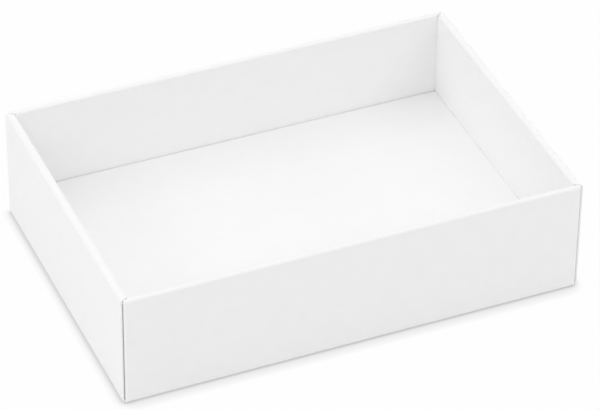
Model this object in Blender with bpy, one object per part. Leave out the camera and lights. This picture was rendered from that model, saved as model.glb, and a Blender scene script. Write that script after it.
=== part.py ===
"""Open white tray folded from lined board, with a platform that lifts out.

The tray is one blank. Its four walls are double: an outer panel, a narrow rim and an inner panel that
rolls down inside and locks into the base with tabs. Flaps on the long walls turn the corners and lie
hidden in the hollow of the short walls. A second blank is the platform: a top panel on four short legs
that fold under it. Each panel between two creases is a solid of its own, with a hairline at the crease.

Metres, +Z up. The origin is the middle of the underside. The long walls run along X, the front is at -Y.
"""
import math

import bmesh
import bpy
from mathutils import Matrix, Vector

# Driving sizes of the tray
INNER_LENGTH = 0.300
INNER_WIDTH = 0.204
TRAY_HEIGHT = 0.0795
BOARD = 0.0016
LONG_HOLLOW = 0.0010
RIM_SKIRT = 0.0003
EDGE_SETBACK = 0.0025

# Gaps: between boards that meet or slide, at a crease, round the platform, and where a flap springs
# away from the cut end of a short wall
CLEARANCE = 0.0003
CREASE_GAP = 0.0003
PLATFORM_CLEARANCE = 0.0003
FLAP_GAP = 0.0005

# Corner flaps
FLAP_LENGTH = 0.070
FLAP_TAPER = 0.004
FLAP_CORNER = 0.006

# Lock tabs on the inner panels
LONG_TAB_WIDTH = 0.040
SHORT_TAB_WIDTH = 0.030
TAB_BEVEL = 0.0006
LONG_TAB_SHARES = (-0.27, 0.27)
SHORT_TAB_SHARES = (-0.24, 0.24)

# Platform
PLATFORM_HEIGHT = 0.0155

# A fold is as round as this share of the board that it turns. The platform's are creased tight
FOLD_SHARE = 0.85
TIGHT_FOLD_SHARE = 0.3
FOLD_STEPS = 5
CORNER_STEPS = 6

# Sizes that follow
LONG_WALL = 2 * BOARD + LONG_HOLLOW
SHORT_WALL = 3 * BOARD + CLEARANCE + FLAP_GAP
RIM_DROP = BOARD + RIM_SKIRT
OUTER_LENGTH = INNER_LENGTH + 2 * SHORT_WALL
OUTER_WIDTH = INNER_WIDTH + 2 * LONG_WALL
FOLD_RADIUS = FOLD_SHARE * BOARD
BASE_TOP = BOARD + CLEARANCE
PANEL_TOP = TRAY_HEIGHT - RIM_DROP - CREASE_GAP

WHITE_LINER = (0.93, 0.93, 0.925)
INNER_LINER = (0.91, 0.91, 0.905)
PLATFORM_LINER = (0.945, 0.945, 0.94)
LINER_ROUGHNESS = 0.62


def clear_scene():
    """Remove every object, so that the script can be run again."""
    for item in list(bpy.data.objects):
        bpy.data.objects.remove(item, do_unlink=True)


def parts_collection(name):
    """The collection that holds the parts."""
    collection = bpy.data.collections.new(name)
    bpy.context.scene.collection.children.link(collection)
    return collection


def board_material(name, colour):
    """A matt lined board of one colour."""
    material = bpy.data.materials.new(name)
    material.use_nodes = True
    shader = material.node_tree.nodes["Principled BSDF"]
    shader.inputs["Base Color"].default_value = (*colour, 1)
    shader.inputs["Roughness"].default_value = LINER_ROUGHNESS
    shader.inputs["Metallic"].default_value = 0
    return material


def place(name, mesh, parent, colour, location=(0, 0, 0), rotation=(0, 0, 0)):
    """Put a finished mesh in the scene under its parent empty."""
    mesh.name = name
    mesh.materials.clear()
    mesh.materials.append(board_material(name + "_board", colour))
    item = bpy.data.objects.new(name, mesh)
    parent.users_collection[0].objects.link(item)
    item.parent = parent
    item.location = location
    item.rotation_euler = rotation
    return item


def frame_empty(name, collection, location, turn=0, parent=None):
    """An empty that carries a wall, or that sits on a joint's axis."""
    empty = bpy.data.objects.new(name, None)
    empty.empty_display_size = LONG_WALL
    collection.objects.link(empty)
    empty.parent = parent
    empty.location = location
    empty.rotation_euler = (0, 0, turn)
    return empty


def finish(bm, name):
    """Turn a bmesh into a mesh whose faces point outwards."""
    bmesh.ops.recalc_face_normals(bm, faces=bm.faces)
    mesh = bpy.data.meshes.new(name)
    bm.to_mesh(mesh)
    bm.free()
    return mesh


def cut_board(name, outline, depth):
    """A flat outline in the XY plane, filled on both sides and given its depth about that plane."""
    curve = bpy.data.curves.new(name, "CURVE")
    curve.dimensions = "2D"
    curve.fill_mode = "BOTH"
    curve.extrude = depth / 2
    spline = curve.splines.new("POLY")
    spline.points.add(len(outline) - 1)
    for point, (x, y) in zip(spline.points, outline):
        point.co = (x, y, 0, 1)
    spline.use_cyclic_u = True
    drawing = bpy.data.objects.new(name + "_drawing", curve)
    bpy.context.scene.collection.objects.link(drawing)
    graph = bpy.context.evaluated_depsgraph_get()
    mesh = bpy.data.meshes.new_from_object(drawing.evaluated_get(graph))
    bpy.data.objects.remove(drawing, do_unlink=True)
    bm = bmesh.new()
    bm.from_mesh(mesh)
    bpy.data.meshes.remove(mesh)
    bmesh.ops.remove_doubles(bm, verts=bm.verts, dist=CREASE_GAP / 10)
    return finish(bm, name)


def arc(centre, radius, start, end, steps):
    """Points on an arc, from one angle in degrees to another."""
    turns = [math.radians(start + (end - start) * step / steps) for step in range(steps + 1)]
    return [(centre[0] + radius * math.cos(turn), centre[1] + radius * math.sin(turn)) for turn in turns]


def stepped_edge(half, level, centres, width, depth, bevel=0):
    """Points along an edge from -half to +half, stepping to depth at each centre: a tab or a notch."""
    points = [(-half, level)]
    for centre in centres:
        near, far = centre - width / 2, centre + width / 2
        points += [(near, level), (near + bevel, depth), (far - bevel, depth), (far, level)]
    return points + [(half, level)]


def box(low, high):
    """A closed box between two corners."""
    bm = bmesh.new()
    size = Vector(high) - Vector(low)
    middle = (Vector(high) + Vector(low)) / 2
    bmesh.ops.create_cube(bm, size=1, matrix=Matrix.Translation(middle) @ Matrix.Diagonal((*size, 1)))
    return bm


def round_edges(bm, is_fold, radius):
    """Round each straight edge whose two ends pass the test."""
    edges = [edge for edge in bm.edges if is_fold(edge.verts[0].co, edge.verts[1].co)]
    bmesh.ops.bevel(bm, geom=edges, offset=radius, offset_type="OFFSET", segments=FOLD_STEPS,
                    profile=0.5, affect="EDGES", clamp_overlap=False, material=-1)


def cut_away(bm, point, normal):
    """Cut a solid with a plane and close it, keeping what lies behind the plane."""
    geometry = bm.verts[:] + bm.edges[:] + bm.faces[:]
    cut = bmesh.ops.bisect_plane(bm, geom=geometry, plane_co=point, plane_no=normal, clear_outer=True)
    loops = [item for item in cut["geom_cut"] if isinstance(item, bmesh.types.BMEdge)]
    bmesh.ops.holes_fill(bm, edges=loops, sides=0)


def outer_panel(name, half, rounded_ends):
    """An outer panel in its wall's frame: outer face at y = 0, the base crease rounded below."""
    bm = box((-half, 0, 0), (half, BOARD, PANEL_TOP))
    edge_of_board = BOARD / 2

    def is_fold(first, second):
        if first.y > edge_of_board or second.y > edge_of_board:
            return False
        at_base = first.z < edge_of_board and second.z < edge_of_board
        at_end = rounded_ends and abs(first.x - second.x) < edge_of_board
        return at_base or at_end

    round_edges(bm, is_fold, FOLD_RADIUS)
    return finish(bm, name)


def rim_section(wall):
    """The rim's section across its wall: a shallow channel, round outside and square inside."""
    base, top = TRAY_HEIGHT - RIM_DROP, TRAY_HEIGHT
    outer_fold = arc((FOLD_RADIUS, top - FOLD_RADIUS), FOLD_RADIUS, 180, 90, FOLD_STEPS)
    inner_fold = arc((wall - FOLD_RADIUS, top - FOLD_RADIUS), FOLD_RADIUS, 90, 0, FOLD_STEPS)
    hollow = [(wall - BOARD, base), (wall - BOARD, top - BOARD), (BOARD, top - BOARD), (BOARD, base)]
    return [(0, base)] + outer_fold + inner_fold + [(wall, base)] + hollow


def round_end(bm, side, half):
    """Round a rim's outer corner with the same facets as the upright crease below it."""
    centre = Vector((side * (half - FOLD_RADIUS), FOLD_RADIUS, 0))
    facet = math.pi / 2 / FOLD_STEPS
    for step in range(FOLD_STEPS):
        turn = (step + 1 / 2) * facet
        away = Vector((side * math.cos(turn), -math.sin(turn), 0))
        cut_away(bm, centre + away * FOLD_RADIUS * math.cos(facet / 2), away)


def rim(name, wall, half, seam_outer, seam_inner, rounded_ends):
    """A rim in its wall's frame. Both ends are cut along the seam that runs to the inner corner."""
    mesh = cut_board(name, rim_section(wall), 2 * half)
    mesh.transform(Matrix.Rotation(math.pi / 2, 4, "Z") @ Matrix.Rotation(math.pi / 2, 4, "X"))
    bm = bmesh.new()
    bm.from_mesh(mesh)
    bpy.data.meshes.remove(mesh)
    for side in (-1, 1):
        run, drop = seam_outer[0] - seam_inner[0], seam_inner[1] - seam_outer[1]
        away = Vector((side * drop, run, 0)).normalized()
        cut_away(bm, Vector((side * seam_inner[0], seam_inner[1], 0)) - away * CLEARANCE / 2, away)
        if rounded_ends:
            round_end(bm, side, half)
    return finish(bm, name)


def inner_panel(name, half, centres, tab_width):
    """An inner panel as a flat outline, x along the wall and y for height, with its lock tabs below."""
    outline = stepped_edge(half, BASE_TOP, centres, tab_width, CLEARANCE, TAB_BEVEL)
    outline += [(half, PANEL_TOP), (-half, PANEL_TOP)]
    return cut_board(name, outline, BOARD)


def corner_flap(name, side):
    """A flap as a flat outline that starts at the long wall and tapers towards its free end."""
    low, high = BASE_TOP, PANEL_TOP - CLEARANCE
    start = OUTER_WIDTH / 2 - BOARD - CREASE_GAP
    end = start - FLAP_LENGTH
    slope = math.degrees(math.atan2(FLAP_TAPER, FLAP_LENGTH))
    low_centre = (end + FLAP_CORNER, low + FLAP_TAPER + FLAP_CORNER)
    high_centre = (end + FLAP_CORNER, high - FLAP_TAPER - FLAP_CORNER)
    outline = [(start, high)] + arc(high_centre, FLAP_CORNER, 90 + slope, 180, CORNER_STEPS)
    outline += arc(low_centre, FLAP_CORNER, 180, 270 - slope, CORNER_STEPS) + [(start, low)]
    return cut_board(name, [(side * x, y) for x, y in outline], BOARD)


def base_panel():
    """The base, notched where the lock tabs of the inner panels come through."""
    half_x = OUTER_LENGTH / 2 - BOARD - CREASE_GAP
    half_y = OUTER_WIDTH / 2 - BOARD - CREASE_GAP
    long_centres = [share * INNER_LENGTH for share in LONG_TAB_SHARES]
    short_centres = [share * INNER_WIDTH for share in SHORT_TAB_SHARES]
    slot = 2 * CLEARANCE
    long_edge = stepped_edge(half_x, half_y, long_centres, LONG_TAB_WIDTH + slot, INNER_WIDTH / 2 - CLEARANCE)
    short_edge = stepped_edge(half_y, half_x, short_centres, SHORT_TAB_WIDTH + slot,
                              INNER_LENGTH / 2 - CLEARANCE)
    outline = [(x, -y) for x, y in long_edge[:-1]]
    outline += [(y, x) for x, y in short_edge[:-1]]
    outline += [(-x, y) for x, y in long_edge[:-1]]
    outline += [(-y, -x) for x, y in short_edge[:-1]]
    return cut_board("base_panel", outline, BOARD)


def platform_panel(half_x, half_y, notch):
    """The platform's top panel, notched at its corners and rounded where the legs fold down."""
    near_x, near_y = half_x - notch, half_y - notch
    quarter = [(near_x, -half_y), (near_x, -near_y), (half_x, -near_y)]
    outline = quarter + [(x, -y) for x, y in reversed(quarter)]
    outline += [(-x, -y) for x, y in quarter] + [(-x, y) for x, y in reversed(quarter)]
    mesh = cut_board("platform_top", outline, BOARD)
    bm = bmesh.new()
    bm.from_mesh(mesh)
    bpy.data.meshes.remove(mesh)
    bmesh.ops.dissolve_limit(bm, angle_limit=math.radians(1), verts=bm.verts, edges=bm.edges)

    def is_fold(first, second):
        at_side = min(abs(first.x), abs(second.x)) > half_x - notch / 2
        at_end = min(abs(first.y), abs(second.y)) > half_y - notch / 2
        return min(first.z, second.z) > 0 and (at_side or at_end)

    round_edges(bm, is_fold, TIGHT_FOLD_SHARE * BOARD)
    return finish(bm, "platform_top")


def platform_leg(name, half, drop):
    """A leg that hangs from its crease at the origin. Its ends slope so that all four fold under."""
    bm = box((-half, -BOARD / 2, -drop), (half, BOARD / 2, BOARD / 2))
    slope = drop + BOARD / 2
    for vert in bm.verts:
        if vert.co.z < 0:
            vert.co.x -= math.copysign(slope, vert.co.x)
    round_edges(bm, lambda first, second: min(first.z, second.z) > 0 and first.y * second.y > 0,
                FOLD_SHARE * BOARD / 2)
    return finish(bm, name)


def build_wall(wall_name, frame, is_long):
    """Outer panel, rim and inner panel of one wall."""
    run, across = (OUTER_LENGTH, LONG_WALL) if is_long else (OUTER_WIDTH, SHORT_WALL)
    if is_long:
        half = run / 2 - BOARD - FLAP_GAP
        inner_half = INNER_LENGTH / 2 - CLEARANCE
        seam_outer, seam_inner = (run / 2, EDGE_SETBACK), (INNER_LENGTH / 2, LONG_WALL)
        centres = [share * INNER_LENGTH for share in LONG_TAB_SHARES]
        tab_width = LONG_TAB_WIDTH
    else:
        half = run / 2 - EDGE_SETBACK
        inner_half = run / 2 - BOARD - CLEARANCE
        seam_outer, seam_inner = (half, 0), (INNER_WIDTH / 2, SHORT_WALL)
        centres = [share * INNER_WIDTH for share in SHORT_TAB_SHARES]
        tab_width = SHORT_TAB_WIDTH
    upright = (math.pi / 2, 0, 0)
    panel = outer_panel(wall_name + "_outer_wall", half, is_long)
    place(wall_name + "_outer_wall", panel, frame, WHITE_LINER)
    strip = rim(wall_name + "_rim", across, half, seam_outer, seam_inner, is_long)
    place(wall_name + "_rim", strip, frame, WHITE_LINER)
    lining = inner_panel(wall_name + "_inner_wall", inner_half, centres, tab_width)
    place(wall_name + "_inner_wall", lining, frame, INNER_LINER, (0, across - BOARD / 2, 0), upright)


def build_flaps(wall_name, frame, ends):
    """The two corner flaps that lie in one short wall, against its outer panel."""
    middle = BOARD + FLAP_GAP + BOARD / 2
    for end_name, side in ends:
        name = end_name + "_" + wall_name + "_flap"
        place(name, corner_flap(name, side), frame, INNER_LINER, (0, middle, 0), (math.pi / 2, 0, 0))


def build_platform(collection):
    """The top panel on its lift axis, and a leg on each of its four creases."""
    half_x = INNER_LENGTH / 2 - PLATFORM_CLEARANCE
    half_y = INNER_WIDTH / 2 - PLATFORM_CLEARANCE
    foot = BASE_TOP
    top = foot + PLATFORM_HEIGHT
    crease = top - BOARD - CLEARANCE - BOARD / 2
    lift = frame_empty("platform_lift_axis", collection, (0, 0, top))
    notch = BOARD + CLEARANCE
    place("platform_top", platform_panel(half_x, half_y, notch), lift, PLATFORM_LINER, (0, 0, -BOARD / 2))
    sides = (("front", 0, half_x, half_y), ("right", 1, half_y, half_x),
             ("back", 2, half_x, half_y), ("left", 3, half_y, half_x))
    for side, quarter, along, out in sides:
        turn = quarter * math.pi / 2
        reach = BOARD / 2 - out
        spot = Vector((-math.sin(turn) * reach, math.cos(turn) * reach, crease - top))
        axis = frame_empty(side + "_leg_crease", collection, spot, turn, lift)
        leg = platform_leg(side + "_leg", along - notch, crease - foot)
        place(side + "_leg", leg, axis, PLATFORM_LINER)


def build_tray():
    """The whole tray, wall by wall, then its platform."""
    collection = parts_collection("open_tray")
    tray = frame_empty("tray_frame", collection, (0, 0, 0))
    place("base_panel", base_panel(), tray, WHITE_LINER, (0, 0, BOARD / 2))
    walls = (("front", 0, (0, -OUTER_WIDTH / 2, 0)), ("right", 1, (OUTER_LENGTH / 2, 0, 0)),
             ("back", 2, (0, OUTER_WIDTH / 2, 0)), ("left", 3, (-OUTER_LENGTH / 2, 0, 0)))
    for wall_name, quarter, spot in walls:
        frame = frame_empty(wall_name + "_wall_frame", collection, spot, quarter * math.pi / 2, tray)
        is_long = quarter % 2 == 0
        build_wall(wall_name, frame, is_long)
        if wall_name == "right":
            build_flaps(wall_name, frame, (("front", -1), ("back", 1)))
        if wall_name == "left":
            build_flaps(wall_name, frame, (("front", 1), ("back", -1)))
    build_platform(collection)


clear_scene()
build_tray()
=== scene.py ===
# %% [markdown]
# # A white tray folded from board
# The object is an open tray made from one sheet of white lined board, with a second sheet folded into a
# low platform inside it. Nearly everything that the eye reads as a tray is a fold: a rounded shoulder, a
# tight crease, a seam where two cut ends meet. So each wall is modelled here as a real sheet. It is drawn
# as a folded outline, its folds are rounded, it is scored and trimmed, and only then is it given the
# thickness of the board.

# %% The frame
import math

import bmesh
import bpy
from mathutils import Matrix, Vector, noise


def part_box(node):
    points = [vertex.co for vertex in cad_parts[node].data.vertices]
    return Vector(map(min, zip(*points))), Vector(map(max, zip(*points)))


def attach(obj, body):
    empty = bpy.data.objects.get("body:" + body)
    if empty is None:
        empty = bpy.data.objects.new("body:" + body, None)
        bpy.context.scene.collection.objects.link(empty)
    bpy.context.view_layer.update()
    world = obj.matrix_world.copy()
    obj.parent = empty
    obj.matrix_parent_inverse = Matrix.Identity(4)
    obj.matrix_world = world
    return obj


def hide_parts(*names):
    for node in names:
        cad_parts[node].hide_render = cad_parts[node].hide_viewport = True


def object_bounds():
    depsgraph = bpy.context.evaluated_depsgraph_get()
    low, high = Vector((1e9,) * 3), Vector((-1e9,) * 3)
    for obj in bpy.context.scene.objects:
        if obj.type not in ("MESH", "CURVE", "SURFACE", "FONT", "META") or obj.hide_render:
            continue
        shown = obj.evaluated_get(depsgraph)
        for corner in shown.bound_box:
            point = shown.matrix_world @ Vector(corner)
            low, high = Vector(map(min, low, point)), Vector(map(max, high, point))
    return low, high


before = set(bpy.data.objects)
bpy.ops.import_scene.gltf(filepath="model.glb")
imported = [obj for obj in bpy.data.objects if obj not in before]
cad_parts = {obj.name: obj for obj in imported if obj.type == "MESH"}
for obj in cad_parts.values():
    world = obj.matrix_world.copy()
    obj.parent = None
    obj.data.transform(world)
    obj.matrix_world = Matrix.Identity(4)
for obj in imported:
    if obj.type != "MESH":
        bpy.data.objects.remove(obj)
cad_low, cad_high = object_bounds()
print("the solids fill", [round(size * 1000, 1) for size in cad_high - cad_low], "mm")

# %% [markdown]
# The sizes come from the imported solids, so the sheets land exactly where the solids are. A box gives two
# corners, and a difference of corners gives a thickness, a wall or a half length. Five small lengths are
# given here: how far the upright creases stand out, how far the short walls stand back, the gap between
# two panels, and how little the inner walls and the seams stay apart. Three hairs of length more tell
# when two spots count as the same.

# %% Sizes taken from the solids
LENGTH, WIDTH, HEIGHT = cad_high - cad_low
BOARD = (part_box("front_outer_wall")[1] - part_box("front_outer_wall")[0]).y
LONG_WALL = (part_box("front_rim")[1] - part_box("front_rim")[0]).y
SHORT_WALL = (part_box("left_rim")[1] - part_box("left_rim")[0]).x
INNER_LENGTH, INNER_WIDTH = LENGTH - 2 * SHORT_WALL, WIDTH - 2 * LONG_WALL
CREASE_OUT, SETBACK = 0.0004, 0.0012
LONG_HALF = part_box("front_outer_wall")[1].x + CREASE_OUT
SHORT_HALF = WIDTH / 2 - SETBACK
PANEL_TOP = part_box("front_inner_wall")[1].z
BASE_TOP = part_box("front_left_flap")[0].z
GAP, TOUCH, SEAM_OPEN = 0.0003, 0.00005, 0.0001
CLOSE, TINY, MERGE = 1e-5, 1e-6, 2e-6
print("board", round(BOARD * 1000, 2), "mm, walls", round(LONG_WALL * 1000, 1), round(SHORT_WALL * 1000, 1))

# %% [markdown]
# ## The camera
# The photograph was taken from the front left, from well above and from far away, because the tray's far
# edges are hardly shorter than its near ones. A long lens at that distance gives the same flat perspective.

# %% Camera
LENS, SENSOR = 218.0, 36.0
CAMERA_SPOT = (-0.73488, -1.71154, 1.45336)
HEADING, DOWNWARD, TILT = -23.43, 37.30, 0.77


def set_camera():
    """Stand the camera where the photograph was taken and aim it with three turns."""
    data = bpy.data.cameras.new("photo_camera")
    data.lens, data.sensor_width = LENS, SENSOR
    camera = bpy.data.objects.new("photo_camera", data)
    bpy.context.scene.collection.objects.link(camera)
    turn = Matrix.Rotation(math.radians(HEADING), 4, "Z")
    turn = turn @ Matrix.Rotation(math.radians(90 - DOWNWARD), 4, "X")
    turn = turn @ Matrix.Rotation(math.radians(TILT), 4, "Z")
    camera.matrix_world = Matrix.Translation(CAMERA_SPOT) @ turn
    bpy.context.scene.camera = camera
    return camera


print("camera stands", round(set_camera().location.length, 2), "m away")

# %% [markdown]
# ## Helpers for materials
# A material is a tree of nodes joined by links. Six small functions keep the trees short enough to read:
# one adds a node, one feeds its inputs, one does a step of arithmetic, one makes soft noise with patches
# of a real size, one turns that noise into a range of values, and one starts a new material.

# %% Node helpers
def add(tree, kind, name, **settings):
    """Add a node, name it and set its plain settings."""
    node = tree.nodes.new(kind)
    node.name = node.label = name
    for key, value in settings.items():
        setattr(node, key, value)
    return node


def feed(tree, node, *values):
    """Give a node's first inputs their values: a number is set and a socket is linked."""
    for socket, value in zip(node.inputs, values):
        if isinstance(value, (int, float)):
            socket.default_value = value
        else:
            tree.links.new(value, socket)
    return node.outputs[0]


def combine(tree, operation, first, second, name="", clamp=False):
    """One step of arithmetic on two sockets or numbers."""
    node = add(tree, "ShaderNodeMath", name or operation.lower(), operation=operation, use_clamp=clamp)
    return feed(tree, node, first, second)


def patches(tree, coords, size, detail, name):
    """Soft noise from about 0.3 to 0.7, in patches about as wide as size in metres."""
    node = add(tree, "ShaderNodeTexNoise", name)
    node.inputs["Scale"].default_value = 1 / size
    node.inputs["Detail"].default_value = detail
    tree.links.new(coords, node.inputs["Vector"])
    return node.outputs[0]


def spread(tree, value, low, high, name, start=0.3, end=0.7):
    """Stretch a value between start and end to one between low and high."""
    node = add(tree, "ShaderNodeMapRange", name)
    return feed(tree, node, value, start, end, low, high)


def new_material(name):
    """An empty material with its tree and its shader."""
    material = bpy.data.materials.new(name)
    material.use_nodes = True
    return material, material.node_tree, material.node_tree.nodes["Principled BSDF"]


# %% [markdown]
# ## The white liner
# The face of the board is white coated paper glued over a wavy medium. It is never quite even: the coat
# is cloudy, the paper has a fine tooth, the waves show through as faint stripes, and a fold stretches the
# coat until it wrinkles. All of it is a percent or two, so it is painted with noise and a bump. The
# stripes follow a UV map called blank, which holds where each spot lay on the flat sheet, in metres.

# %% White liner
FLUTE = 0.0032
CLOUD, MOTTLE, TOOTH, WRINKLE = 0.026, 0.0045, 0.00045, 0.0035
FLUTE_DEPTH, CLOUD_DEPTH, TOOTH_DEPTH, WRINKLE_DEPTH = 2.5e-6, 6e-5, 2.5e-6, 2e-5
THIN_CLOUD, THIN_MOTTLE, THIN_FOLD = 0.6, 0.4, 0.4
THICK_COAT, THIN_COAT, THIN_COAT_BLUE = 0.006, 0.010, 0.012
GLOSSY, DULL, DULL_FOLD = 0.50, 0.60, 0.06
TRAY_TONE, PLATFORM_TONE = 0.93, 0.94


def liner_relief(tree, place, crease):
    """The height of the surface in metres: lumps, tooth, stripes, and wrinkles on the folds."""
    blank = add(tree, "ShaderNodeUVMap", "blank", uv_map="blank").outputs["UV"]
    across = add(tree, "ShaderNodeSeparateXYZ", "across_flutes")
    tree.links.new(blank, across.inputs[0])
    turn = combine(tree, "MULTIPLY", across.outputs["Y"], 2 * math.pi / FLUTE, "flute_turn")
    relief = combine(tree, "MULTIPLY", combine(tree, "SINE", turn, 0, "flutes"), FLUTE_DEPTH, "flute_height")
    lumps = spread(tree, patches(tree, place, CLOUD, 1, "lumps"), 0, CLOUD_DEPTH, "lump_height")
    tooth = spread(tree, patches(tree, place, TOOTH, 3, "tooth"), 0, TOOTH_DEPTH, "tooth_height")
    wrinkles = spread(tree, patches(tree, place, WRINKLE, 2, "wrinkles"), 0, WRINKLE_DEPTH, "wrinkle_height")
    wrinkles = combine(tree, "MULTIPLY", wrinkles, crease, "wrinkles_on_folds")
    for part in (lumps, tooth, wrinkles):
        relief = combine(tree, "ADD", relief, part, "relief")
    return relief


def liner_material(name, tone):
    """White coated paper of one tone, with everything that keeps it from being even."""
    material, tree, shader = new_material(name)
    place = add(tree, "ShaderNodeTexCoord", "place").outputs["Object"]
    crease = add(tree, "ShaderNodeAttribute", "crease", attribute_name="crease").outputs["Fac"]
    mottle = patches(tree, place, MOTTLE, 4, "mottle")
    share = spread(tree, patches(tree, place, CLOUD / 2, 2, "cloud"), 0, THIN_CLOUD, "cloud_share")
    share = combine(tree, "ADD", share, spread(tree, mottle, 0, THIN_MOTTLE, "mottle_share"), "thin_coat")
    folds = combine(tree, "MULTIPLY", crease, THIN_FOLD)
    share = combine(tree, "ADD", share, folds, "thin_on_folds", clamp=True)
    colour = add(tree, "ShaderNodeMix", "coat", data_type="RGBA")
    tree.links.new(share, colour.inputs["Factor"])
    thick, thin = tone + THICK_COAT, tone - THIN_COAT
    colour.inputs["A"].default_value = (thick, thick, thick, 1)
    colour.inputs["B"].default_value = (thin, thin, tone - THIN_COAT_BLUE, 1)
    tree.links.new(colour.outputs["Result"], shader.inputs["Base Color"])
    rough = spread(tree, mottle, GLOSSY, DULL, "coat_gloss")
    rough = combine(tree, "ADD", rough, combine(tree, "MULTIPLY", crease, DULL_FOLD), "dull_folds")
    tree.links.new(rough, shader.inputs["Roughness"])
    bump = add(tree, "ShaderNodeBump", "relief_bump")
    bump.inputs["Distance"].default_value = 1.0
    tree.links.new(liner_relief(tree, place, crease), bump.inputs["Height"])
    tree.links.new(bump.outputs["Normal"], shader.inputs["Normal"])
    return material


tray_liner = liner_material("white_liner", TRAY_TONE)
platform_liner = liner_material("platform_liner", PLATFORM_TONE)
print("liner nodes:", len(tray_liner.node_tree.nodes))

# %% [markdown]
# ## The cut edge
# Where a die has cut the board, its section shows: two liners with a medium between them. A cut that runs
# across the waves opens them, so the medium is a sine wave with small voids beside it. The voids are given
# painted shade, a dark grey that stands in for the shade inside the open flutes. A cut that runs along
# them crushes the core into one pale stripe. A UV map called across_board gives both: along the cut in
# metres, and from 0 to 1 across the board. An attribute called open_flutes says which kind of cut it is.

# %% Cut edge
# The third tone is painted shade: the dark grey of the voids stands in for the shade inside the open flutes.
EDGE_TONE, CORE_TONE, VOID_SHADE = 0.94, 0.90, 0.38
EDGE_SPREAD, CORE_SPREAD, WARMTH = 0.015, 0.05, 0.99
LINER_FROM, LINER_TO = 0.34, 0.38
MEDIUM_FROM, MEDIUM_TO = 0.10, 0.16
FIBRE, FUZZ_DEPTH, VOID_DEPTH = 0.0007, 4e-5, 1e-4


def wavy_medium(tree, along, depth):
    """A share that is 1 on the medium's wavy line and 0 in the voids beside it."""
    turn = combine(tree, "MULTIPLY", along, 2 * math.pi / FLUTE, "wave_turn")
    line = combine(tree, "MULTIPLY", combine(tree, "SINE", turn, 0, "wave"), LINER_FROM, "wave_line")
    away = combine(tree, "ABSOLUTE", combine(tree, "SUBTRACT", depth, line, "from_wave"), 0, "wave_distance")
    return spread(tree, away, 1.0, 0.0, "medium", MEDIUM_FROM, MEDIUM_TO)


def edge_material():
    """The board seen from its cut: liners, and between them waves or a crushed core."""
    material, tree, shader = new_material("cut_edge")
    place = add(tree, "ShaderNodeTexCoord", "place").outputs["Object"]
    section = add(tree, "ShaderNodeSeparateXYZ", "section")
    tree.links.new(add(tree, "ShaderNodeUVMap", "across_board", uv_map="across_board").outputs["UV"],
                   section.inputs[0])
    depth = combine(tree, "SUBTRACT", section.outputs["Y"], 0.5, "depth")
    skin = combine(tree, "ABSOLUTE", depth, 0, "from_middle")
    liners = spread(tree, skin, 0.0, 1.0, "liners", LINER_FROM, LINER_TO)
    is_open = add(tree, "ShaderNodeAttribute", "open_flutes", attribute_name="open_flutes").outputs["Fac"]
    crushed = combine(tree, "SUBTRACT", 1.0, is_open, "crushed")
    wavy = wavy_medium(tree, section.outputs["X"], depth)
    medium = combine(tree, "ADD", wavy, crushed, "core", clamp=True)
    solid = combine(tree, "MAXIMUM", liners, medium, "paper")
    fibres = patches(tree, place, FIBRE, 4, "fibres")
    core = spread(tree, fibres, CORE_TONE - CORE_SPREAD, CORE_TONE + CORE_SPREAD, "core_tone")
    liner = spread(tree, fibres, EDGE_TONE - EDGE_SPREAD, EDGE_TONE + EDGE_SPREAD, "liner_tone")
    lift = combine(tree, "MULTIPLY", liners, combine(tree, "SUBTRACT", liner, core, "lift"))
    tone = combine(tree, "ADD", core, lift, "paper_tone")
    # Where there is no paper, the tone falls to the painted shade of the voids.
    shade = combine(tree, "MULTIPLY", combine(tree, "SUBTRACT", tone, VOID_SHADE), solid, "above_painted_void_shade")
    shade = combine(tree, "ADD", shade, VOID_SHADE, "tone")
    colour = add(tree, "ShaderNodeCombineColor", "grey")
    feed(tree, colour, shade, shade, combine(tree, "MULTIPLY", shade, WARMTH, "warm"))
    tree.links.new(colour.outputs[0], shader.inputs["Base Color"])
    shader.inputs["Roughness"].default_value = 0.8
    fuzz = spread(tree, fibres, 0, FUZZ_DEPTH, "fuzz_height")
    hollow = combine(tree, "ADD", fuzz, combine(tree, "MULTIPLY", solid, VOID_DEPTH), "section_height")
    bump = add(tree, "ShaderNodeBump", "section_bump")
    bump.inputs["Distance"].default_value = 1.0
    tree.links.new(hollow, bump.inputs["Height"])
    tree.links.new(bump.outputs["Normal"], shader.inputs["Normal"])
    return material


cut_edge = edge_material()
print("cut edge nodes:", len(cut_edge.node_tree.nodes))

# %% [markdown]
# ## A sheet of board
# A wall starts as an outline seen from its end: up the outside, across the rim and down the inside. Drawn
# out along the wall it is an open sheet with sharp folds. The bevel operator rounds each fold, because a
# crease in board this thick is as round as the board is thick.

# %% Draw, fold and score a sheet
FOLD = 1.02 * BOARD
FOLD_STEPS = 8


def folded_sheet(points, half):
    """Draw an outline of points (y, z) out along x, and round every fold."""
    bm = bmesh.new()
    verts = [bm.verts.new((-half, y, z)) for y, z in points]
    edges = [bm.edges.new(pair) for pair in zip(verts, verts[1:])]
    drawn = bmesh.ops.extrude_edge_only(bm, edges=edges)["geom"]
    moved = [item for item in drawn if isinstance(item, bmesh.types.BMVert)]
    bmesh.ops.translate(bm, verts=moved, vec=(2 * half, 0, 0))
    folds = [edge for edge in bm.edges if len(edge.link_faces) == 2]
    bmesh.ops.bevel(bm, geom=folds, offset=FOLD, offset_type="OFFSET", segments=FOLD_STEPS, profile=0.5,
                    affect="EDGES", material=-1)
    return bm


def score(bm, point, normal, where=None):
    """Cut a line across the sheet where a plane meets it, without parting the sheet."""
    faces = [face for face in bm.faces if where is None or where(face.calc_center_median())]
    edges = {edge for face in faces for edge in face.edges}
    verts = {vert for face in faces for vert in face.verts}
    geometry = faces + list(edges) + list(verts)
    bmesh.ops.bisect_plane(bm, geom=geometry, dist=TINY, plane_co=point, plane_no=normal)


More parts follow.
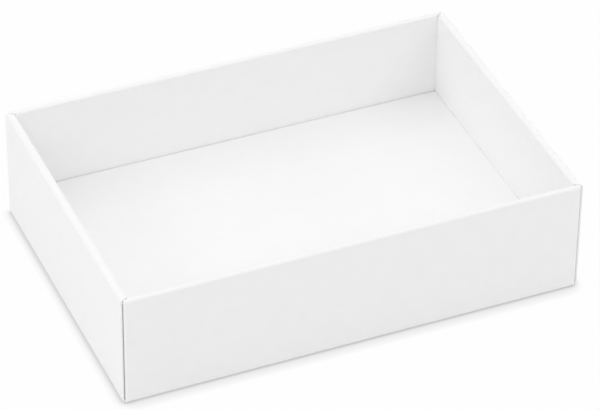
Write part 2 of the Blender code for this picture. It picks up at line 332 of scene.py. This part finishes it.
def trim(bm, outside):
    """Remove the parts of the sheet whose middle lies outside."""
    faces = [face for face in bm.faces if outside(face.calc_center_median())]
    bmesh.ops.delete(bm, geom=faces, context="FACES")


# %% Draw an edge of the sheet further out
def draw_out(bm, chosen, vec):
    """Extrude the chosen open edges, and return the new vertices."""
    edges = [edge for edge in bm.edges if len(edge.link_faces) == 1 and chosen(edge)]
    drawn = bmesh.ops.extrude_edge_only(bm, edges=edges)["geom"]
    moved = [item for item in drawn if isinstance(item, bmesh.types.BMVert)]
    bmesh.ops.translate(bm, verts=moved, vec=vec)
    return moved


# %% [markdown]
# The sheet gets its thickness last, so every cut edge stands square to the board, as a cutting die leaves
# it. Solidify does that in one step. Then the two maps and the two attributes that the materials read are
# written, while it is still known which faces are skin and which are cut.

# %% Give the sheet its thickness
SOFT_ANGLE, HARD_ANGLE = math.radians(8), math.radians(60)


def mark_folds(bm):
    """Write 1 on every vertex inside a rounded fold, for the liner's crease."""
    layers = bm.verts.layers.float
    crease = layers.get("crease") or layers.new("crease")
    for edge in bm.edges:
        if len(edge.link_faces) == 2 and all(face.material_index == 0 for face in edge.link_faces):
            if SOFT_ANGLE < edge.calc_face_angle(0) < HARD_ANGLE:
                for vert in edge.verts:
                    vert[crease] = 1


def thicken(bm, flat):
    """Turn the sheet into board. The function flat gives a spot's place on the blank."""
    bmesh.ops.remove_doubles(bm, verts=bm.verts, dist=MERGE)
    skin = set(bm.verts)
    bmesh.ops.solidify(bm, geom=bm.faces[:], thickness=BOARD)
    blank = bm.loops.layers.uv.new("blank")
    across = bm.loops.layers.uv.new("across_board")
    opened = bm.loops.layers.float.new("open_flutes")
    for face in bm.faces:
        middle = face.calc_center_median()
        for loop in face.loops:
            loop[blank].uv = flat(loop.vert.co, middle)
        front = [loop for loop in face.loops if loop.vert in skin]
        if not 0 < len(front) < len(face.verts):
            continue
        face.material_index = 1
        spots = [loop[blank].uv for loop in front]
        run = [max(spot[axis] for spot in spots) - min(spot[axis] for spot in spots) for axis in (0, 1)]
        is_open = run[1] > run[0]
        for loop in face.loops:
            pair = (loop, loop.link_loop_next, loop.link_loop_prev)
            source = next((item for item in pair if item in front), loop)
            loop[across].uv = (source[blank].uv[1 if is_open else 0], 0 if loop in front else 1)
            loop[opened] = float(is_open)
    mark_folds(bm)


# %% [markdown]
# Board that has been folded by hand doesn't stand as straight as a drawing. Its walls bow in a little
# between their corners, and the rims dip by a hair. One small field of moves, always inwards and down,
# does this to the whole tray at once. The inner face of a wall moves a fifth as far as its outer face, so
# the layers come a little closer but stay clear of each other, and nothing grows.

# %% Let the board settle
BOW, RIPPLE, RIPPLE_SIZE = 0.00025, 0.00012, 0.045
INNER_SHARE = 0.2
SHARP = math.radians(35)


def settle(spot):
    """How far the board at a spot of the tray has moved from where it was drawn."""
    height = min(1, max(0, spot.z / HEIGHT))
    waves = [1 + noise.noise(spot / RIPPLE_SIZE + Vector((0, 0, row))) for row in range(3)]
    ripple = [RIPPLE * height * wave / 2 for wave in waves]
    move = Vector((0, 0, -ripple[2]))
    for axis, size, wall in ((0, LENGTH, SHORT_WALL), (1, WIDTH, LONG_WALL)):
        along, other = spot[1 - axis], WIDTH if axis == 0 else LENGTH
        outside = (abs(spot[axis]) - (size / 2 - wall)) / wall
        if outside > -0.01:
            arch = math.sin(math.pi * height) * (1 - (2 * along / other) ** 2)
            layer = INNER_SHARE + (1 - INNER_SHARE) * outside
            move[axis] = -math.copysign(layer * (BOW * max(0, arch) + ripple[axis]), spot[axis])
    return move


def keep(bm, name, place, body, nodes, liner, is_tray=True):
    """Set the board in its place in the world, let it settle, and let it ride on its body."""
    mesh = bpy.data.meshes.new(name)
    bm.to_mesh(mesh)
    bm.free()
    mesh.transform(place)
    for vert in mesh.vertices:
        vert.co += settle(vert.co) if is_tray else Vector()
    mesh.materials.append(liner)
    mesh.materials.append(cut_edge)
    mesh.shade_smooth()
    mesh.set_sharp_from_angle(angle=SHARP)
    piece = bpy.data.objects.new(name, mesh)
    bpy.context.scene.collection.objects.link(piece)
    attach(piece, body)
    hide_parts(*nodes)
    print(name, len(mesh.polygons), "faces")
    return piece


# %% [markdown]
# ## The long walls
# A long wall carries a flap at each end, which turns the corner and hides inside the short wall. Its sheet
# is one strip with four parts: a lip beside the base, the outer wall, the rim and the inner wall. It is
# scored every centimetre or so, so that it has points to bend at when the board settles, and again
# wherever a cut will run. The trims then follow the scores.

# %% The outline of a wall
BEND_STEP = 0.012
LONG_TABS = ((-0.27, 0.27), 0.040)
SHORT_TABS = ((-0.24, 0.24), 0.030)
TAB_SLOPE = 0.0006
FLAP_LOW, FLAP_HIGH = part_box("front_left_flap")[0].z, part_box("front_left_flap")[1].z
FLAP_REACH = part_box("front_left_flap")[1].y + WIDTH / 2
X, Y, Z = Vector((1, 0, 0)), Vector((0, 1, 0)), Vector((0, 0, 1))


def is_top(spot):
    """Whether a spot lies on the rim or its shoulders."""
    return spot.z > HEIGHT - FOLD


def is_inner(spot, wall):
    """Whether a spot lies on the inner wall."""
    return spot.y > wall - FOLD / 2 and not is_top(spot)


def score_wall(bm, wall, half, inner_half, tabs, inner_length, seam_inner):
    """Score a wall where it bends, at the ends of its panels, beside its tabs and at its creases."""
    reach = max(half, inner_half)
    quarters = [math.radians(90 * step / FOLD_STEPS) for step in range(FOLD_STEPS + 1)]
    turn = [half - FOLD + FOLD * math.sin(quarter) for quarter in quarters]
    bends = [BEND_STEP * step for step in range(int((inner_half - FOLD) / BEND_STEP))]
    for value in sorted({half, inner_half, seam_inner.x, *turn, *bends}):
        for side in (-1, 1):
            if value < reach - TINY:
                score(bm, X * side * value, X)
    shares, width = tabs
    for share in shares:
        for side in (-1, 1):
            spot = X * (share * inner_length + side * width / 2)
            score(bm, spot, X, lambda spot: is_inner(spot, wall))
    for value in (FLAP_LOW, HEIGHT / 4, HEIGHT / 2, HEIGHT * 3 / 4, FLAP_HIGH, PANEL_TOP):
        score(bm, Z * value, Z)


def trim_seam(bm, seam_outer, seam_inner):
    """Cut both ends of the rim along the seam, half a gap short of it."""
    along = (seam_outer - seam_inner).normalized()
    for side in (-1, 1):
        away = Vector((-side * along.y, along.x, 0))
        if away.x * side < 0:
            away.negate()
        point = Vector((side * seam_inner.x, seam_inner.y, 0)) - away * GAP / 2
        score(bm, point, away, is_top)
        trim(bm, lambda spot: is_top(spot) and (spot - point).dot(away) > 0)


# %% The sheet of a wall
def add_tabs(bm, wall, tabs, inner_length):
    """Draw the lock tabs down from the foot of the inner wall, a little narrower at their tips."""
    shares, width = tabs
    for share in shares:
        centre = share * inner_length

        def on_foot(edge):
            middle = (edge.verts[0].co + edge.verts[1].co) / 2
            at_foot = abs(middle.z - BASE_TOP) < CLOSE and middle.y > wall - CLOSE
            return at_foot and abs(middle.x - centre) < width / 2

        tips = draw_out(bm, on_foot, (0, 0, GAP - BASE_TOP))
        for vert in tips:
            vert.co.x -= TAB_SLOPE * (vert.co.x - centre) / (width / 2)


def wall_sheet(wall, half, inner_half, tabs, inner_length, seam_outer, seam_inner):
    """The sheet of one wall, folded, scored and trimmed to its outline."""
    profile = [(BOARD + GAP, 0), (0, 0), (0, HEIGHT), (wall, HEIGHT), (wall, BASE_TOP)]
    bm = folded_sheet(profile, max(half, inner_half))
    score_wall(bm, wall, half, inner_half, tabs, inner_length, seam_inner)
    trim_seam(bm, seam_outer, seam_inner)
    trim(bm, lambda spot: abs(spot.x) > half and not is_inner(spot, wall))
    trim(bm, lambda spot: abs(spot.x) > inner_half and is_inner(spot, wall))
    trim(bm, lambda spot: abs(spot.x) > seam_inner.x and is_inner(spot, wall) and spot.z > PANEL_TOP)
    add_tabs(bm, wall, tabs, inner_length)
    outside = [face for face in bm.faces if face.calc_center_median().y < TINY]
    outer = max(outside, key=lambda face: face.calc_area())
    if outer.normal.y > 0:
        bmesh.ops.reverse_faces(bm, faces=bm.faces)
    return bm


# %% Where a spot of a wall lay on the flat sheet
def wall_blank(wall, half, is_long):
    """The place of a spot on the blank, in metres: first along the flutes, then across them."""
    def flat(spot, middle):
        along = spot.x
        if is_long and abs(middle.x) > half - FOLD and middle.z < PANEL_TOP:
            along, run = spot.x + math.copysign(spot.y, spot.x), spot.z
        elif middle.y > wall / 2:
            run = 2 * HEIGHT - spot.z + spot.y
        elif middle.z > HEIGHT / 2:
            run = spot.z + spot.y
        else:
            run = spot.z - spot.y
        return (along, run) if is_long else (run, along)
    return flat


# %% [markdown]
# ## The corner flaps
# At a tray's corner the long wall turns the corner as a round crease and goes on as a flap, which the
# short wall is folded over. The flap could be a board of its own, but the crease would then show a line.
# So the ends of the sheet are bent round first, and the flap is drawn out of the bend. Its tip is a
# little narrower than its root and has round corners, so that it slips into the hollow wall.

# %% Corner flaps
FLAP_TAPER, FLAP_CORNER = 0.004, 0.006


def add_flaps(bm, half):
    """Round the upright creases of a long wall and draw the flaps out of them."""
    for vert in bm.verts:
        over = abs(vert.co.x) - (half - FOLD)
        if over > 0:
            vert.co.y = max(vert.co.y, FOLD - math.sqrt(max(0, FOLD ** 2 - over ** 2)))

    for side in (-1, 1):
        def on_crease(edge):
            spots = [vert.co for vert in edge.verts]
            at_end = all(abs(spot.x - side * half) < CLOSE and abs(spot.y - FOLD) < CLOSE for spot in spots)
            return at_end and all(FLAP_LOW - CLOSE < spot.z < FLAP_HIGH + CLOSE for spot in spots)

        tip = draw_out(bm, on_crease, (0, FLAP_REACH - FOLD, 0))
        top, foot = max(tip, key=lambda vert: vert.co.z), min(tip, key=lambda vert: vert.co.z)
        top.co.z -= FLAP_TAPER
        foot.co.z += FLAP_TAPER
        bmesh.ops.bevel(bm, geom=[top, foot], offset=FLAP_CORNER, offset_type="OFFSET",
                        segments=FOLD_STEPS, profile=0.5, affect="VERTICES", material=-1)


for name, quarter in (("front", 0), ("back", 2)):
    seam_outer = Vector((LENGTH / 2, SETBACK, 0))
    seam_inner = Vector((INNER_LENGTH / 2 - SEAM_OPEN, LONG_WALL, 0))
    sheet = wall_sheet(LONG_WALL, LONG_HALF, INNER_LENGTH / 2 - TOUCH, LONG_TABS, INNER_LENGTH,
                       seam_outer, seam_inner)
    add_flaps(sheet, LONG_HALF)
    thicken(sheet, wall_blank(LONG_WALL, LONG_HALF, True))
    place = Matrix.Rotation(quarter * math.pi / 2, 4, "Z") @ Matrix.Translation((0, -WIDTH / 2, 0))
    nodes = [name + part for part in ("_outer_wall", "_rim", "_inner_wall", "_left_flap", "_right_flap")]
    keep(sheet, name + "_wall", place, "tray", nodes, tray_liner)

# %% [markdown]
# ## The short walls
# A short wall is wider across, because two flaps lie in its hollow. It has no flaps of its own, so its
# outer panel ends in a cut edge, and that edge is the pale upright strip at each front corner. The strip
# stands a little back from the long wall's face, with a dark slit where the flap turns in behind it.

# %% Short walls
CRUSH = 0.0007


def crush_ends(bm, half):
    """Press the hidden side of the outer panel thinner towards its cut ends, as the die did."""
    for vert in bm.verts:
        near_end = (abs(vert.co.x) - (half - FOLD)) / FOLD
        if near_end > 0 and BOARD * 0.9 < vert.co.y < BOARD * 1.1 and vert.co.z < PANEL_TOP:
            vert.co.y -= CRUSH * near_end


for name, quarter in (("right", 1), ("left", 3)):
    seam_outer = Vector((SHORT_HALF, 0, 0))
    seam_inner = Vector((INNER_WIDTH / 2 - SEAM_OPEN, SHORT_WALL, 0))
    inner_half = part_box("left_inner_wall")[1].y
    sheet = wall_sheet(SHORT_WALL, SHORT_HALF, inner_half, SHORT_TABS, INNER_WIDTH,
                       seam_outer, seam_inner)
    thicken(sheet, wall_blank(SHORT_WALL, SHORT_HALF, False))
    crush_ends(sheet, SHORT_HALF)
    place = Matrix.Rotation(quarter * math.pi / 2, 4, "Z") @ Matrix.Translation((0, -LENGTH / 2, 0))
    nodes = [name + part for part in ("_outer_wall", "_rim", "_inner_wall")]
    keep(sheet, name + "_wall", place, "tray", nodes, tray_liner)

# %% [markdown]
# ## The base
# The base is the middle of the blank. The lock tabs of the inner walls stand in eight notches beside its
# creases, and their tips show from below as they do on a real tray. Each notch is four scores and a trim.

# %% Base
def flat_sheet(low, high, level):
    """A rectangular sheet between two corners, facing up."""
    bm = bmesh.new()
    bmesh.ops.create_grid(bm, x_segments=1, y_segments=1, size=0.5)
    middle = (Vector(low) + Vector(high)) / 2
    bmesh.ops.scale(bm, verts=bm.verts, vec=(high[0] - low[0], high[1] - low[1], 1))
    bmesh.ops.translate(bm, verts=bm.verts, vec=(middle.x, middle.y, level))
    return bm


def notch(bm, low, high):
    """Cut a rectangular notch out of a flat sheet."""
    for point, normal in ((low, X), (high, X), (low, Y), (high, Y)):
        score(bm, (point[0], point[1], 0), normal)
    trim(bm, lambda spot: low[0] < spot.x < high[0] and low[1] < spot.y < high[1])


def flat_blank(spot, middle):
    """A flat sheet lies on the blank as it lies on the table."""
    return spot.x, spot.y


base_low, base_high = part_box("base_panel")
base = flat_sheet(base_low, base_high, 0)
for side in (-1, 1):
    for share in LONG_TABS[0]:
        depth = sorted((side * (INNER_WIDTH / 2 - GAP), side * WIDTH / 2))
        spot, half = share * INNER_LENGTH, LONG_TABS[1] / 2 + GAP
        notch(base, (spot - half, depth[0]), (spot + half, depth[1]))
    for share in SHORT_TABS[0]:
        depth = sorted((side * (INNER_LENGTH / 2 - GAP), side * LENGTH / 2))
        spot, half = share * INNER_WIDTH, SHORT_TABS[1] / 2 + GAP
        notch(base, (depth[0], spot - half), (depth[1], spot + half))
bmesh.ops.dissolve_limit(base, angle_limit=0.01, verts=base.verts, edges=base.edges)
bmesh.ops.reverse_faces(base, faces=base.faces)
thicken(base, flat_blank)
keep(base, "base", Matrix.Identity(4), "tray", ["base_panel"], tray_liner)

# %% [markdown]
# ## The platform
# A second blank lies in the tray: a top with a leg folded down along each side. It is notched at its
# corners so that the folds can turn. It fits so closely between the short walls that the floor meets them
# almost without a line, and a little less closely between the long ones. A crease that turns freely is
# drawn as two separate boards, each with its own share of the round fold: that way a leg can swing without
# stretching anything.

# %% Round a tight crease
TIGHT_FOLD, END_FOLD, LEG_FOLD = 0.32 * BOARD, 0.09 * BOARD, 0.42 * BOARD
LONG_EDGE, STEEP = 1.5 * BOARD, 1


def round_crease(bm, high, offset, along=None):
    """Round the long upper edges of a board, where its creases are, and cover them with liner."""
    edges = [edge for edge in bm.edges if all(vert.co.z > high - CLOSE for vert in edge.verts)]
    edges = [edge for edge in edges if edge.calc_length() > LONG_EDGE]
    edges = [edge for edge in edges if edge.calc_face_angle(0) > STEEP]
    if along:
        edges = [edge for edge in edges if abs((edge.verts[0].co - edge.verts[1].co).dot(along)) > BOARD]
    for edge in edges:
        for face in edge.link_faces:
            face.material_index = 0
    bmesh.ops.bevel(bm, geom=edges, offset=offset, offset_type="OFFSET", segments=FOLD_STEPS, profile=0.5,
                    affect="EDGES", material=0)
    mark_folds(bm)


# %% Platform top
def platform_sheet(half_x, half_y, level, corner):
    """The platform's top, with a square notch cut out of each corner."""
    bm = flat_sheet((-half_x, -half_y), (half_x, half_y), level)
    for side in (-1, 1):
        score(bm, X * side * (half_x - corner), X)
        score(bm, Y * side * (half_y - corner), Y)
    trim(bm, lambda spot: abs(spot.x) > half_x - corner and abs(spot.y) > half_y - corner)
    return bm


top_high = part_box("platform_top")[1]
sheet = platform_sheet(INNER_LENGTH / 2 - 2 * TOUCH, top_high.y, top_high.z, TIGHT_FOLD + GAP)
thicken(sheet, flat_blank)
round_crease(sheet, top_high.z, END_FOLD, along=Y)
round_crease(sheet, top_high.z, TIGHT_FOLD, along=X)
keep(sheet, "platform", Matrix.Identity(4), "platform", ["platform_top"], platform_liner,
     is_tray=False)

# %% [markdown]
# Each leg hangs from a crease, so its upper end is rounded like a fold and not cut. The ends slope at 45
# degrees: that lets all four legs fold flat under the top together, like the flaps of an envelope.

# %% Platform legs
def leg_sheet(half, high, low):
    """One leg, seen from outside, with its sloping ends."""
    bm = flat_sheet((-half, low), (half, high), 0)
    bmesh.ops.rotate(bm, verts=bm.verts, cent=(0, 0, 0), matrix=Matrix.Rotation(math.radians(90), 3, "X"))
    for vert in bm.verts:
        if vert.co.z < (high + low) / 2:
            vert.co.x -= math.copysign(high - low, vert.co.x)
    return bm


for name, quarter in (("front", 0), ("right", 1), ("back", 2), ("left", 3)):
    leg_low, leg_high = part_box(name + "_leg")
    axis = quarter % 2
    reach = max(abs(leg_low[1 - axis]), abs(leg_high[1 - axis]))
    sheet = leg_sheet(leg_high[axis], leg_high.z, leg_low.z)
    thicken(sheet, lambda spot, middle: (spot.x, spot.z) if axis == 0 else (spot.z, spot.x))
    round_crease(sheet, leg_high.z, LEG_FOLD)
    place = Matrix.Rotation(quarter * math.pi / 2, 4, "Z") @ Matrix.Translation((0, -reach, 0))
    keep(sheet, name + "_leg_board", place, name + "_leg", [name + "_leg"],
         platform_liner, is_tray=False)

# %% [markdown]
# ## Floor and background
# A catalogue picture has a white ground with only a soft dark line where the object touches it. A white
# floor that is lit like the tray would turn grey, so the camera sees a plain white floor that glows at just
# under full white, and so would a mirror or glass. Light on its way to a wall meets an ordinary pale
# floor that throws it back. The contact shadow comes from ambient occlusion: the share of the sky that
# the tray hides from the floor. It is made of a wide one and a tight one, and each reaches a different
# distance beside the two ends.

# %% White floor
FLOOR_BOUNCE, FLOOR_GLOW = 0.9, 0.991
SHADOWS = (("wide", 0.0095, 0.0065, 0.29), ("tight", 0.0020, 0.0032, 0.27))
LEAN = (0.25, 0.5)
SHADOW_SAMPLES = 24
ENDS_FROM, ENDS_TO = LENGTH / 2 - 0.008, LENGTH / 2 + 0.002
FLOOR_SIZE, FLOOR_ROUGHNESS = 20, 0.9


def hidden_share(tree, reach, side_reach, name):
    """How much of the sky within reach is hidden, from 0 to 1; beside the ends the reach differs."""
    node = add(tree, "ShaderNodeAmbientOcclusion", name, samples=SHADOW_SAMPLES)
    place = add(tree, "ShaderNodeSeparateXYZ", name + "_place")
    tree.links.new(add(tree, "ShaderNodeTexCoord", name + "_spot").outputs["Object"], place.inputs[0])
    outwards = combine(tree, "ABSOLUTE", place.outputs["X"], 0, name + "_outwards")
    distance = spread(tree, outwards, reach, side_reach, name + "_reach", ENDS_FROM, ENDS_TO)
    tree.links.new(distance, node.inputs["Distance"])
    normal = add(tree, "ShaderNodeCombineXYZ", name + "_lean")
    upright = math.sqrt(1 - LEAN[0] ** 2 - LEAN[1] ** 2)
    tree.links.new(feed(tree, normal, *LEAN, upright), node.inputs["Normal"])
    return combine(tree, "SUBTRACT", 1.0, node.outputs["AO"], name + "_hidden")


def seen_directly(tree):
    """A share that is 1 for the camera, a mirror or glass, and 0 for light on its way to a wall."""
    rays = add(tree, "ShaderNodeLightPath", "rays")
    seen = combine(tree, "ADD", rays.outputs["Is Camera Ray"], rays.outputs["Is Glossy Ray"])
    return combine(tree, "ADD", seen, rays.outputs["Is Transmission Ray"], "seen", clamp=True)


def floor_material():
    """A pale floor for the light, and a white one with a contact shadow for the camera."""
    material, tree, shader = new_material("white_floor")
    shader.inputs["Base Color"].default_value = (FLOOR_BOUNCE, FLOOR_BOUNCE, FLOOR_BOUNCE, 1)
    shader.inputs["Roughness"].default_value = FLOOR_ROUGHNESS
    strength = FLOOR_GLOW
    for name, reach, side_reach, share in SHADOWS:
        hidden = hidden_share(tree, reach, side_reach, name)
        dark = combine(tree, "MULTIPLY", hidden, share, name + "_shadow")
        strength = combine(tree, "SUBTRACT", strength, dark, name + "_rest")
    glow = add(tree, "ShaderNodeEmission", "glow")
    tree.links.new(strength, glow.inputs["Strength"])
    mix = add(tree, "ShaderNodeMixShader", "seen_or_bounced")
    feed(tree, mix, seen_directly(tree), shader.outputs["BSDF"], glow.outputs["Emission"])
    tree.links.new(mix.outputs["Shader"], tree.nodes["Material Output"].inputs["Surface"])
    return material


bpy.ops.mesh.primitive_plane_add(size=FLOOR_SIZE)
floor = bpy.context.object
floor.name = "floor"
floor.data.materials.append(floor_material())

# %% [markdown]
# ## Light
# The walls are nearly as bright as the rims, so the light comes from all around: an even white sky, with
# six large soft boxes around it. A picture is the sum of what each lamp alone would give, so the powers
# were found by rendering each lamp by itself and solving for the sum that comes closest to the photograph.
# The low box on the right is what leaves the right end of the back wall in a soft shade. Seen directly,
# the sky is as white as the floor, so that a low camera finds no horizon.

# %% Light
SKY = 0.562
SOFT_BOX, SOFT_BOX_AWAY = 1.2, 2.0
SOFT_BOXES = (
    ("front_right", 45, 45, 6.24),
    ("low_right", 90, 10, 9.36),
    ("back", 180, 45, 3.27),
    ("high_back", 180, 70, 4.32),
    ("left", 270, 25, 6.51),
    ("front_left", 315, 45, 6.06),
)
world = bpy.data.worlds.new("studio")
bpy.context.scene.world = world
world.use_nodes = True
sky = world.node_tree.nodes["Background"]
sky.inputs["Color"].default_value = (1, 1, 1, 1)
strength = spread(world.node_tree, seen_directly(world.node_tree), SKY, FLOOR_GLOW, "sky_strength", 0, 1)
world.node_tree.links.new(strength, sky.inputs["Strength"])


def soft_box(name, azimuth, elevation, power):
    """Hang a square soft light around the tray; azimuth 0 is the front and 90 the right side."""
    data = bpy.data.lights.new(name, "AREA")
    data.shape, data.size, data.energy = "SQUARE", SOFT_BOX, power
    lamp = bpy.data.objects.new(name, data)
    lamp.visible_camera = False
    bpy.context.scene.collection.objects.link(lamp)
    turn, rise = math.radians(azimuth), math.radians(elevation)
    away = Vector((math.sin(turn) * math.cos(rise), -math.cos(turn) * math.cos(rise), math.sin(rise)))
    aim = away.to_track_quat("Z", "Y").to_matrix().to_4x4()
    lamp.matrix_world = Matrix.Translation(away * SOFT_BOX_AWAY) @ aim
    return lamp


for lamp_name, azimuth, elevation, power in SOFT_BOXES:
    soft_box(lamp_name, azimuth, elevation, power)
print("soft boxes:", len(SOFT_BOXES))
bpy.context.scene.view_settings.view_transform = "Standard"
